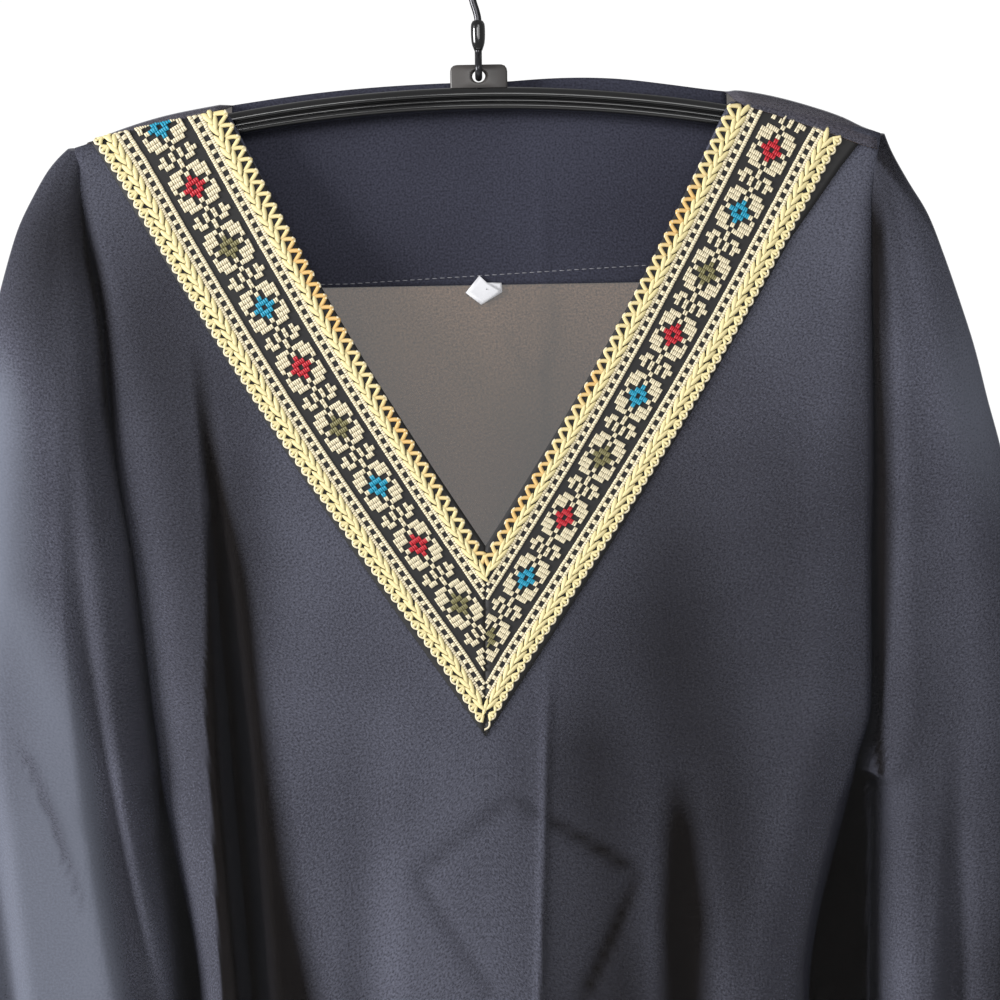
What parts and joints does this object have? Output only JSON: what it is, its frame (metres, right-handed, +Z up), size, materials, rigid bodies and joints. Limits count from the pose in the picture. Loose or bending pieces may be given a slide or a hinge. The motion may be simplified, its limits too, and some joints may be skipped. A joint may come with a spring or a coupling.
{
  "type": "abaya on a hanger",
  "caption": "Loose pull-over abaya of dark semi-sheer crepe, V neck edged with a wide woven trim, hung on a plastic hanger with a wire hook.",
  "frame": {"origin": "inner crown of the hook, where it rests on a rail", "axes": "+Z up, the front faces -Y, +X to the viewer's right"},
  "size_m": [0.5416, 0.1292, 1.4957],
  "materials": {
    "crepe": "semi-sheer crepe georgette, fine grain",
    "facing": "doubled crepe",
    "trim": "woven ribbon, gold and cream thread on black",
    "label": "folded satin tape, blank",
    "hanger_plastic": "glossy black",
    "hook_wire": "dark coated wire",
    "hook_sleeve_plastic": "glossy dark plastic"
  },
  "bodies": {
    "root": {"front_panel": "crepe", "back_panel": "crepe", "sleeve_left": "crepe", "sleeve_right": "crepe", "back_neck_facing": "facing", "trim_left": "trim", "trim_right": "trim", "neck_label": "label", "hanger": "hanger_plastic", "hook": "hook_wire", "hook_sleeve": "hook_sleeve_plastic"}
  },
  "joints": []
}
